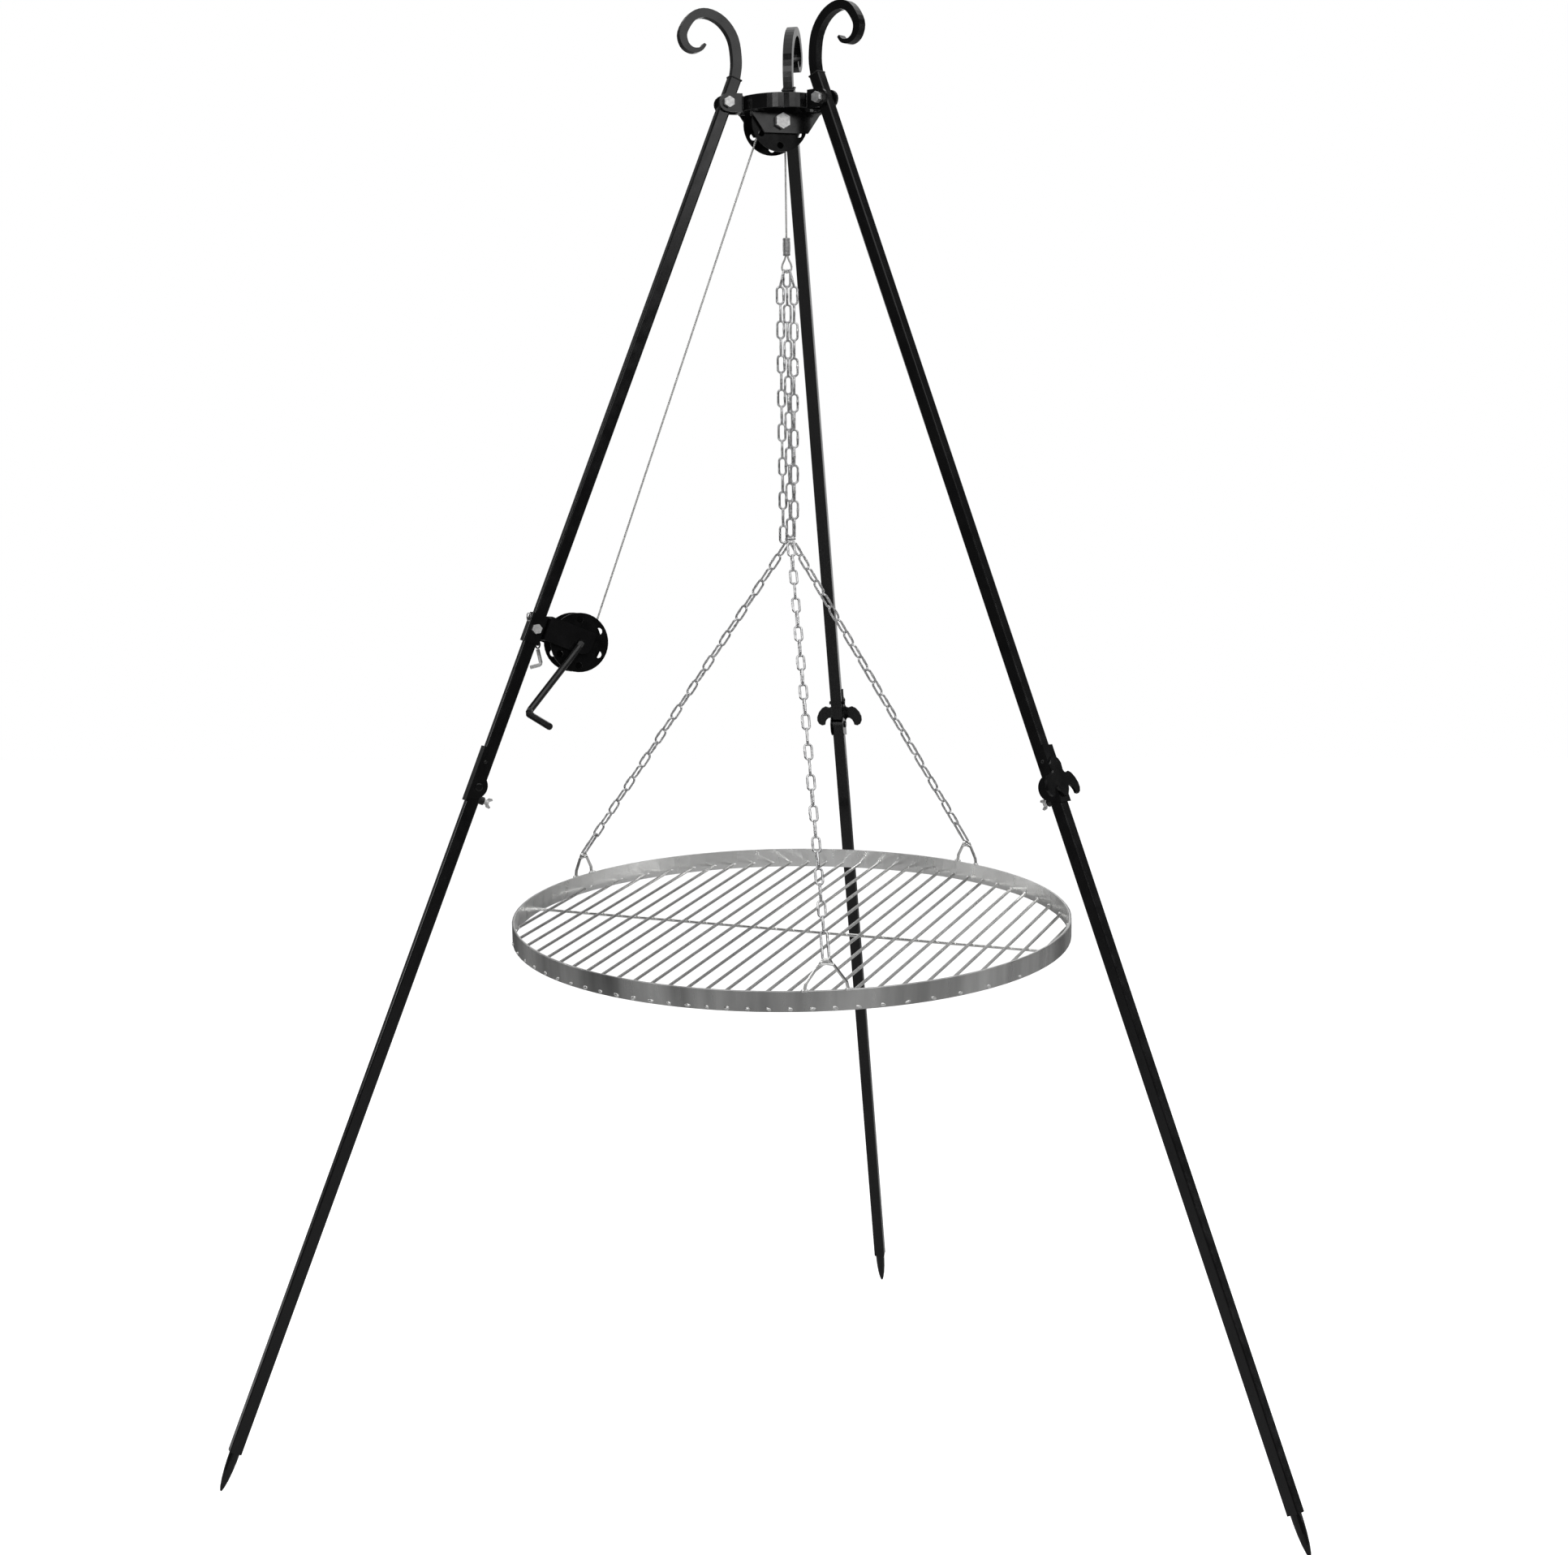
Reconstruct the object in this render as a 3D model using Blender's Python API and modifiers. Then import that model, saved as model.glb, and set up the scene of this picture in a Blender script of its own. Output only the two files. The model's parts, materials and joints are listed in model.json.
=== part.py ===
"""Campfire tripod grate: three folding legs on a hub ring, a crank winch with a cable over a
pulley, and a round grate that hangs from the cable on chains.

Metres, +Z up. The feet stand on z = 0, one leg points along +Y, and the front is toward -Y.
"""
import math

import bmesh
import bpy
from mathutils import Matrix, Vector

# ---- driving dimensions -------------------------------------------------------------------
AXIS_Y = -0.1823                 # the hub's axis, set so that the box is centred on y = 0
HUB_Z = 1.653                    # height of the leg bolts
BOLT_RADIUS = 0.071              # hub axis to leg bolt
FOOT_RADIUS = 0.731              # hub axis to spike tip
TOUCH = 0.0003                   # gap between neighbours that touch

TUBE = 0.015                     # square leg tube
TUBE_WALL = 0.0015
TUBE_CORNER = 0.0018
TUBE_TOP = 0.032                 # tube above the leg bolt
UPPER_END = 0.0105               # upper tube's end above the knee pin
SPIKE = 0.049
TENON = 0.0114

RING_OUTER = 0.0525
RING_WALL = 0.003
RING_HEIGHT = 0.018
LUG_BASE = 0.004
EAR_GAP = 0.016
EAR_THICK = 0.004
EAR_ROUND = 0.0112

REEL_RADIUS = 0.036
REEL_WIDTH = 0.034
REEL_FLANGE = 0.0025
WINCH_CORE = 0.017
PULLEY_CORE = 0.0135
REEL_HOLE = 0.0043
REEL_HOLE_CIRCLE = 0.028
REEL_HOLES = 6
REEL_SKIN = 0.0035               # wall of a reel's tubular core
SHAFT_HOLE = 0.0056
PULLEY_Z = 1.6305
PULLEY_OUT = 0.0065              # pulley axis from the hub's axis, toward the left leg
PLATE_OFFSET = 0.0205            # pulley plate's middle from the pulley's middle
PLATE_THICK = 0.003
PLATE_TOP_WIDTH = 0.092
PLATE_FOOT_WIDTH = 0.056
PLATE_HEIGHT = 0.026

CABLE_RADIUS = 0.00125
CABLE_SIDE = -0.008              # the cable runs nearer the reel's rear flange
WINCH_WRAP = WINCH_CORE + CABLE_RADIUS + TOUCH
PULLEY_WRAP = PULLEY_CORE + CABLE_RADIUS + TOUCH
WINCH_ALONG = 0.680              # winch axis, along the leg from the leg bolt
WINCH_INWARD = 0.0545            # winch axis, inward from the leg's middle
WINCH_TURNS = 5
WINCH_PITCH = 0.0029

SLEEVE_OUTER = 0.0206
SLEEVE_INNER = 0.0156
SLEEVE_HEIGHT = 0.036
CHEEK_THICK = 0.0025
CHEEK_OFFSET = 0.0198
CHEEK_HEIGHT = 0.030
CRANK_RADIUS = 0.00425

FERRULE_TOP = 1.494
FERRULE_HEIGHT = 0.022
FERRULE_RADIUS = 0.0048
LOOP_LENGTH = 0.019
LOOP_WIDTH = 0.012
GATHER_Z = 1.123
CHAIN_RADIUS = 0.0024
CHAIN_SPREAD = 0.0088            # between the hanging strands

GRATE_Z = 0.6545                 # middle of the rim's top edge
GRATE_RADIUS = 0.350
GRATE_TILT = math.radians(7.6)   # the grate hangs low at the front
GRATE_TILT_TOWARD = math.radians(280.4)
RIM_WALL = 0.003
RIM_HEIGHT = 0.0245
ROD_RADIUS = 0.002
ROD_PITCH = 0.0235
ROD_PAIRS = 14                   # rods each side of the middle one
CROSS_ROD_TURN = math.radians(-9.5)
GRATE_SIDE = 0.006               # the grate hangs this far off the swivel's line
BAILS = {                        # place round the rim, half width, height
    "left": (math.radians(152.6), 0.0155, 0.027),
    "right": (math.radians(57.4), 0.0155, 0.027),
    "front": (math.radians(286.9), 0.025, 0.034),
}

LEAN = math.atan2(FOOT_RADIUS - BOLT_RADIUS, HUB_Z)
LEG_LENGTH = math.hypot(FOOT_RADIUS - BOLT_RADIUS, HUB_Z)
# name, heading, leg bolt to knee pin, has a wing screw, has a hook plate
LEGS = (
    ("left", math.radians(210), 0.886, True, False),
    ("right", math.radians(330), 0.886, True, True),
    ("rear", math.radians(90), 0.842, False, True),
)
BLACK = ("black_paint", (0.012, 0.012, 0.013), 0.28, 0.0)
ZINC = ("zinc_steel", (0.72, 0.72, 0.70), 0.28, 1.0)
STAINLESS = ("stainless_steel", (0.62, 0.62, 0.61), 0.32, 1.0)
CABLE = ("galvanised_cable", (0.70, 0.70, 0.68), 0.45, 1.0)
ALUMINIUM = ("ferrule_aluminium", (0.60, 0.60, 0.60), 0.40, 1.0)

MILLI = 0.001


# ---- tools --------------------------------------------------------------------------------
def clear_scene():
    for old in list(bpy.data.objects):
        bpy.data.objects.remove(old, do_unlink=True)


def make_collection(name):
    collection = bpy.data.collections.new(name)
    bpy.context.scene.collection.children.link(collection)
    return collection


def material(spec):
    name, colour, roughness, metallic = spec
    found = bpy.data.materials.get(name)
    if found:
        return found
    made = bpy.data.materials.new(name)
    made.use_nodes = True
    shader = made.node_tree.nodes["Principled BSDF"]
    shader.inputs["Base Color"].default_value = (*colour, 1.0)
    shader.inputs["Roughness"].default_value = roughness
    shader.inputs["Metallic"].default_value = metallic
    return made


def place(name, mesh, parent=None, matrix=None, finish=None):
    """Link a mesh as one named piece; without a finish it is a cutter."""
    piece = bpy.data.objects.new(name, mesh)
    if finish:
        PARTS.objects.link(piece)
        mesh.materials.clear()
        mesh.materials.append(material(finish))
    else:
        CUTTERS.objects.link(piece)
        piece.hide_render = True
        piece.display_type = "WIRE"
    if parent:
        piece.parent = parent
    if matrix:
        piece.matrix_local = matrix
    return piece


def empty(name, matrix, parent=None):
    guide = bpy.data.objects.new(name, None)
    PARTS.objects.link(guide)
    if parent:
        guide.parent = parent
    guide.matrix_local = matrix
    return guide


def mesh_from(build):
    """A mesh from a bmesh-filling function."""
    shape = bmesh.new()
    build(shape)
    bmesh.ops.recalc_face_normals(shape, faces=shape.faces)
    mesh = bpy.data.meshes.new("shape")
    shape.to_mesh(mesh)
    shape.free()
    return mesh


def box(size, centre):
    def build(shape):
        bmesh.ops.create_cube(shape, size=1.0)
        bmesh.ops.scale(shape, vec=Vector(size), verts=shape.verts)
        bmesh.ops.translate(shape, vec=Vector(centre), verts=shape.verts)
    return mesh_from(build)


def cylinder(radius, start, end, sides=24):
    """A capped cylinder between two points."""
    start, end = Vector(start), Vector(end)
    turn = (end - start).to_track_quat("Z", "Y").to_matrix().to_4x4()
    spot = Matrix.Translation((start + end) / 2) @ turn

    def build(shape):
        bmesh.ops.create_cone(shape, cap_ends=True, segments=sides, radius1=radius, radius2=radius,
                              depth=(end - start).length, matrix=spot)
    mesh = mesh_from(build)
    smooth(mesh)
    return mesh


def smooth(mesh, angle=35):
    mesh.shade_smooth()
    mesh.set_sharp_from_angle(angle=math.radians(angle))


def curve_mesh(curve):
    """The mesh of a curve, with its caps welded on; the curve is removed."""
    guide = bpy.data.objects.new("curve", curve)
    bpy.context.scene.collection.objects.link(guide)
    bpy.context.view_layer.update()
    evaluated = guide.evaluated_get(bpy.context.evaluated_depsgraph_get())
    mesh = bpy.data.meshes.new_from_object(evaluated)
    bpy.data.objects.remove(guide, do_unlink=True)
    bpy.data.curves.remove(curve)
    shape = bmesh.new()
    shape.from_mesh(mesh)
    bmesh.ops.remove_doubles(shape, verts=shape.verts, dist=0.00001)
    bmesh.ops.recalc_face_normals(shape, faces=shape.faces)
    shape.to_mesh(mesh)
    shape.free()
    return mesh


def spline(curve, points, cyclic):
    line = curve.splines.new("POLY")
    line.points.add(len(points) - 1)
    for spot, point in zip(line.points, points):
        spot.co = (*point, 1.0) if len(point) == 3 else (*point, 0.0, 1.0)
    line.use_cyclic_u = cyclic


def plate(outlines, thickness):
    """Flat outlines in the local XY plane, the first solid and the rest holes."""
    curve = bpy.data.curves.new("outline", "CURVE")
    curve.dimensions = "2D"
    curve.fill_mode = "BOTH"
    curve.extrude = thickness / 2
    for outline in outlines:
        spline(curve, outline, True)
    return curve_mesh(curve)


def wire(points, radius, cyclic=False, sides=2):
    curve = bpy.data.curves.new("wire", "CURVE")
    curve.dimensions = "3D"
    curve.bevel_depth = radius
    curve.bevel_resolution = sides
    curve.use_fill_caps = True
    spline(curve, points, cyclic)
    mesh = curve_mesh(curve)
    smooth(mesh, 50)
    return mesh


def arc(centre, radius, start, end, steps):
    """Points on an arc, angles in degrees."""
    turns = [math.radians(start + (end - start) * i / steps) for i in range(steps + 1)]
    return [(centre[0] + radius * math.cos(t), centre[1] + radius * math.sin(t)) for t in turns]


def circle(centre, radius, sides):
    return arc(centre, radius, 0, 360 - 360 / sides, sides - 1)


def rounded_square(side, corner, steps=3):
    inner = side / 2 - corner
    points = []
    for quarter, (x, y) in enumerate(((1, 1), (-1, 1), (-1, -1), (1, -1))):
        points += arc((x * inner, y * inner), corner, 90 * quarter, 90 * quarter + 90, steps)
    return points


def smooth_path(points, steps):
    """A Catmull-Rom path through hand-placed points."""
    ends = [points[0]] + list(points) + [points[-1]]
    path = []
    for p0, p1, p2, p3 in zip(ends, ends[1:], ends[2:], ends[3:]):
        for i in range(steps):
            t = i / steps
            path.append(tuple(
                0.5 * (2 * b + (c - a) * t + (2 * a - 5 * b + 4 * c - d) * t * t
                       + (3 * b - a - 3 * c + d) * t ** 3)
                for a, b, c, d in zip(p0, p1, p2, p3)))
    path.append(tuple(points[-1]))
    return path


def turned(name, profile, parent, matrix, finish, steps=32):
    """A profile of (radius, height), listed from the top down its outer side, turned about local Z."""
    mesh = bpy.data.meshes.new(name)
    count = len(profile)
    closed = profile[0][0] > 0
    edges = [(i, i + 1) for i in range(count - 1)]
    if closed:
        edges.append((count - 1, 0))
    mesh.from_pydata([(r, 0.0, z) for r, z in profile], edges, [])
    piece = place(name, mesh, parent, matrix, finish)
    screw = piece.modifiers.new("turn", "SCREW")
    screw.steps = steps
    screw.render_steps = steps
    screw.use_merge_vertices = True
    screw.merge_threshold = 0.00001
    screw.use_smooth_shade = False
    return piece


def boolean(piece, cutter_mesh, operation="DIFFERENCE", name="cut"):
    """Cut or join with a mesh given in the piece's own space."""
    cutter = place(f"{piece.name}_{name}", cutter_mesh, piece)
    step = piece.modifiers.new(name, "BOOLEAN")
    step.operation = operation
    step.solver = "EXACT"
    step.object = cutter
    return piece


ALONG_X = Matrix.Rotation(math.radians(90), 4, "Y")     # local Z onto the parent's X
ALONG_Y = Matrix.Rotation(math.radians(-90), 4, "X")    # local Z onto the parent's Y
FACE_Y = Matrix.Rotation(math.radians(90), 4, "X")      # plate outline (x, y) onto the parent's (x, z)
FACE_X = Matrix(((0, 0, 1, 0), (1, 0, 0, 0), (0, 1, 0, 0), (0, 0, 0, 1)))   # outline onto (y, z)


def reel(name, core, first_hole, parent, matrix):
    """Two round flanges with a ring of holes, joined by a tubular core."""
    bore = circle((0, 0), SHAFT_HOLE, 24)
    outlines = [circle((0, 0), REEL_RADIUS, 40), bore]
    for number in range(REEL_HOLES):
        turn = math.radians(first_hole + 360 * number / REEL_HOLES)
        spot = (REEL_HOLE_CIRCLE * math.cos(turn), REEL_HOLE_CIRCLE * math.sin(turn))
        outlines.append(circle(spot, REEL_HOLE, 12))
    side = (REEL_WIDTH - REEL_FLANGE) / 2
    flange = plate(outlines, REEL_FLANGE)
    flange.transform(Matrix.Translation((0, 0, side)))
    smooth(flange)
    piece = place(name, flange, parent, matrix, BLACK)
    barrel = plate([circle((0, 0), core, 32), circle((0, 0), core - REEL_SKIN, 24)], REEL_WIDTH - REEL_FLANGE)
    smooth(barrel)
    boolean(piece, barrel, "UNION", "core")
    other = plate(outlines, REEL_FLANGE)
    other.transform(Matrix.Translation((0, 0, -side)))
    smooth(other)
    boolean(piece, other, "UNION", "flange")
    return piece


def hex_bolt(name, parent, matrix, shank, head_at, nut_at, across, head, nut):
    """A bolt along local Z: a hexagon head past head_at and a hexagon nut past nut_at."""
    corner = across / math.sqrt(3)
    piece = place(name, cylinder(shank, (0, 0, nut_at - nut / 2), (0, 0, head_at + head / 2), 16),
                  parent, matrix, ZINC)
    boolean(piece, cylinder(corner, (0, 0, head_at), (0, 0, head_at + head), 6), "UNION", "head")
    boolean(piece, cylinder(corner, (0, 0, nut_at - nut), (0, 0, nut_at), 6), "UNION", "nut")
    return piece


# ---- hub ----------------------------------------------------------------------------------
def make_hub():
    half = RING_HEIGHT / 2
    inner = RING_OUTER - RING_WALL
    soft = 0.0006
    profile = [(inner, half), (RING_OUTER - soft, half), (RING_OUTER, half - soft),
               (RING_OUTER, soft - half), (RING_OUTER - soft, -half), (inner, -half)]
    turned("hub_ring", profile, HUB, Matrix.Translation((0, 0, -0.001)), BLACK, steps=48)
    for name, *_ in LEGS:
        make_lug(name)


def make_lug(name):
    """Two ears on a base plate, with a slot for the tube and a hole for the leg bolt."""
    base = RING_OUTER + TOUCH - BOLT_RADIUS
    outline = [(base, EAR_ROUND), *arc((0, 0), EAR_ROUND, 90, -90, 10), (base, -EAR_ROUND)]
    width = EAR_GAP + 2 * EAR_THICK
    lug = place(f"lug_{name}", plate([outline], width), HEADINGS[name], FACE_Y, BLACK)
    reach = 0.05
    slot = box((reach, reach, EAR_GAP), (base + LUG_BASE + reach / 2, 0, 0))
    boolean(lug, slot, name="slot")
    boolean(lug, cylinder(0.0043, (0, 0, -width), (0, 0, width), 16), name="bolt_hole")


def make_pulley():
    """Two hanging plates, the pulley and its bolt, square to the left leg's plane."""
    top = HUB_Z - 0.001 - RING_HEIGHT / 2 - TOUCH - PULLEY_Z
    foot = top - PLATE_HEIGHT
    corners = ((-PLATE_TOP_WIDTH, top), (-PLATE_FOOT_WIDTH, foot),
               (PLATE_FOOT_WIDTH, foot), (PLATE_TOP_WIDTH, top))
    outline = [(wide / 2 - PULLEY_OUT, high) for wide, high in corners]
    hole = circle((0, 0), SHAFT_HOLE, 16)
    for name, side in (("front", 1), ("back", -1)):
        spot = Matrix.Translation((0, side * PLATE_OFFSET, 0)) @ FACE_Y
        place(f"pulley_plate_{name}", plate([outline, hole], PLATE_THICK), PULLEY, spot, BLACK)
    reel("pulley_reel", PULLEY_CORE, 30, PULLEY, ALONG_Y)
    outer = PLATE_OFFSET + PLATE_THICK / 2 + TOUCH
    hex_bolt("pulley_bolt", PULLEY, ALONG_Y, 0.005, outer, -outer, 0.017, 0.0065, 0.008)


# ---- legs ---------------------------------------------------------------------------------
SCROLL_PATH = (                  # out from the bolt, up from the bolt, thickness; millimetres
    (-11.9, 29.7, 11.5), (-14.5, 50.0, 11.5), (-10.5, 78.0, 11.5), (3.5, 98.0, 11.3),
    (23.0, 107.0, 11.0), (41.0, 102.5, 10.6), (53.5, 84.0, 10.0), (51.5, 69.5, 8.6),
    (42.5, 62.5, 6.5), (32.0, 63.5, 4.8), (26.0, 70.0, 3.4),
)
SCROLL_WIDTH = 0.0116


def make_scroll(name):
    """A forged square bar that tapers along its curl, on a tenon inside the tube's top."""
    top = TUBE_TOP + TOUCH
    along = Vector((-math.sin(LEAN), math.cos(LEAN)))
    sections = [(along * 0.014, TENON, TENON), (along * top, TENON, TENON),
                (along * top, SCROLL_WIDTH, SCROLL_WIDTH)]
    for x, z, thick in smooth_path(SCROLL_PATH, 4)[2:]:
        sections.append((Vector((x, z)) * MILLI, SCROLL_WIDTH, thick * MILLI))

    def build(shape):
        rings = []
        for number, (centre, width, thick) in enumerate(sections):
            before = sections[max(number - 1, 0)][0]
            after = sections[min(number + 1, len(sections) - 1)][0]
            run = along if number < 3 else (after - before).normalized()
            side = Vector((run.y, -run.x)) * thick / 2
            ring = []
            for out, across in ((1, 1), (1, -1), (-1, -1), (-1, 1)):
                spot = centre + side * out
                ring.append(shape.verts.new((spot.x, across * width / 2, spot.y)))
            rings.append(ring)
        for low, high in zip(rings, rings[1:]):
            for i in range(4):
                shape.faces.new((low[i], low[(i + 1) % 4], high[(i + 1) % 4], high[i]))
        shape.faces.new(rings[0])
        shape.faces.new(rings[-1])
    mesh = mesh_from(build)
    smooth(mesh, 40)
    place(f"scroll_{name}", mesh, HEADINGS[name], None, BLACK)


def tube_mesh(low, high, hollow=True):
    """Square tube along local Z between two heights."""
    outlines = [rounded_square(TUBE, TUBE_CORNER)]
    if hollow:
        outlines.append(rounded_square(TUBE - 2 * TUBE_WALL, 0.0004, 1))
    mesh = plate(outlines, high - low)
    mesh.transform(Matrix.Translation((0, 0, (low + high) / 2)))
    smooth(mesh)
    return mesh


def make_upper_leg(name, knee):
    tube = place(f"upper_tube_{name}", tube_mesh(-knee + UPPER_END, TUBE_TOP), LEG_TOPS[name], None, BLACK)
    boolean(tube, cylinder(0.0043, (0, -0.02, 0), (0, 0.02, 0), 16), name="bolt_hole")
    outer = EAR_GAP / 2 + EAR_THICK + TOUCH
    hex_bolt(f"hub_bolt_{name}", HEADINGS[name], ALONG_Y, 0.004, outer, -outer, 0.0118, 0.0053, 0.0065)


KNEE_LOBE = 0.0155
LEFT_LOBE_OUT = 0.0045           # the left knee's lobe sits this far toward the channel's back
KNEE_BACK = 0.002
KNEE_SIDE = {"left": 0.002, "right": 0.002, "rear": 0.001}
KNEE_PIN = 0.003


def make_knee(name):
    """A channel round the tube's outer side, with a round lobe each side of the knee pin."""
    web = TUBE / 2 + TOUCH + KNEE_BACK
    lobe = (LEFT_LOBE_OUT if name == "left" else 0.0, 0.0)
    outline = [(web, 0.049), (0.0066, 0.049), (0.0047, 0.043), (0.0058, 0.036), (0.0024, 0.028),
               (0.0004, 0.020), *arc(lobe, KNEE_LOBE, 105, 268, 14), (web - 0.0002, -0.0205), (web, -0.0205)]
    width = TUBE + 2 * TOUCH + 2 * KNEE_SIDE[name]
    channel = place(f"knee_channel_{name}", plate([outline], width), KNEES[name], FACE_Y, BLACK)
    reach = 0.2
    slot = box((reach, reach, TUBE + 2 * TOUCH), (TUBE / 2 + TOUCH - reach / 2, 0, 0))
    boolean(channel, slot, name="slot")
    boolean(channel, cylinder(KNEE_PIN + TOUCH, (0, 0, -0.02), (0, 0, 0.02), 16), name="pin_hole")
    side = width / 2 + TOUCH
    head = 0.0018
    profile = [(0.0, side + head), (0.0038, side + head), (0.0048, side + head * 0.5), (0.0048, side),
               (KNEE_PIN, side), (KNEE_PIN, -side), (0.0048, -side), (0.0048, -side - head * 0.5),
               (0.0038, -side - head), (0.0, -side - head)]
    turned(f"knee_pin_{name}", profile, KNEES[name], ALONG_Y, BLACK, steps=20)


WING_DROP = 0.0140
BOSS_RADIUS = 0.005
BOSS_REACH = 0.0065


def make_lower_leg(name, knee, wing):
    """A tube whose top is a solid round eye on the knee pin, with a spike in its foot."""
    foot = -(LEG_LENGTH - knee - SPIKE)
    tube = place(f"lower_tube_{name}", tube_mesh(foot, -0.001, hollow=False), KNEES[name], None, BLACK)
    eye = cylinder(TUBE / 2 - 0.0001, (0, -TUBE / 2 + 0.0002, 0), (0, TUBE / 2 - 0.0002, 0), 24)
    boolean(tube, eye, "UNION", "eye")
    if wing:
        boss = cylinder(BOSS_RADIUS, (-TUBE / 4, 0, -WING_DROP), (-TUBE / 2 - BOSS_REACH, 0, -WING_DROP), 16)
        boolean(tube, boss, "UNION", "boss")
    inner = TUBE - 2 * TUBE_WALL
    core_top = -0.035
    core = box((inner, inner, core_top - foot + 0.01), (0, 0, (core_top + foot - 0.01) / 2))
    boolean(tube, core, name="core")
    boolean(tube, cylinder(KNEE_PIN + TOUCH, (0, -0.02, 0), (0, 0.02, 0), 16), name="pin_hole")
    profile = [(0.0, 0.018), (TENON / 2, 0.018), (TENON / 2, -TOUCH), (0.0064, -TOUCH), (0.0063, -0.010),
               (0.0057, -0.022), (0.0045, -0.034), (0.0029, -0.043), (0.0014, -0.0477), (0.0, -SPIKE)]
    turned(f"spike_{name}", profile, KNEES[name], Matrix.Translation((0, 0, foot)), BLACK, steps=20)


def make_wing_screw(name):
    """A short stem with two flat wings, screwed into the boss below the knee."""
    start = TUBE / 2 + BOSS_REACH + TOUCH
    spot = Matrix.Translation((-start, 0, -WING_DROP)) @ Matrix.Rotation(math.radians(-90), 4, "Y")
    screw = place(f"wing_screw_{name}", cylinder(0.0032, (0, 0, 0), (0, 0, 0.006), 12), KNEES[name], spot, ZINC)
    wings = [(0.0018, 0.0022), (0.0058, 0.0046), (0.0064, 0.0086), (0.0044, 0.0102), (0.0014, 0.0062),
             (-0.0014, 0.0062), (-0.0044, 0.0102), (-0.0064, 0.0086), (-0.0058, 0.0046), (-0.0018, 0.0022)]
    blade = plate([wings], 0.0022)
    blade.transform(Matrix.Rotation(math.radians(90), 4, "X"))
    boolean(screw, blade, "UNION", "wings")


HOOK_UP = {"right": 0.0150, "rear": 0.0215}    # top of the arms above the knee pin
HOOK_THICK = 0.003
HOOK_HALF = (                    # right half from the finial down, millimetres from the top of the arms
    (0.0, 20.0), (4.2, 18.2), (8.0, 14.5), (10.0, 10.2), (9.5, 5.5), (9.2, 2.0), (10.6, -0.9), (13.4, -2.0),
    (18.4, -0.2), (23.6, -2.9), (28.2, -8.6), (30.9, -15.3), (31.1, -21.0), (28.9, -25.8), (24.8, -28.3),
    (20.4, -27.2), (19.6, -23.2), (17.6, -19.4), (14.9, -17.0), (12.4, -16.6), (10.4, -17.8), (9.0, -21.8),
    (5.0, -27.5), (0.0, -29.5),
)


def make_hook_plate(name):
    """A flat three-pointed plate on the channel's back, with two arms that curl down."""
    right = [(x * MILLI, y * MILLI) for x, y in HOOK_HALF]
    left = [(-x, y) for x, y in reversed(right[1:-1])]
    stand = TUBE / 2 + TOUCH + KNEE_BACK + TOUCH + HOOK_THICK / 2
    spot = Matrix.Translation((stand, 0, HOOK_UP[name])) @ FACE_X
    place(f"hook_plate_{name}", plate([right + left], HOOK_THICK), KNEES[name], spot, BLACK)


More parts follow.
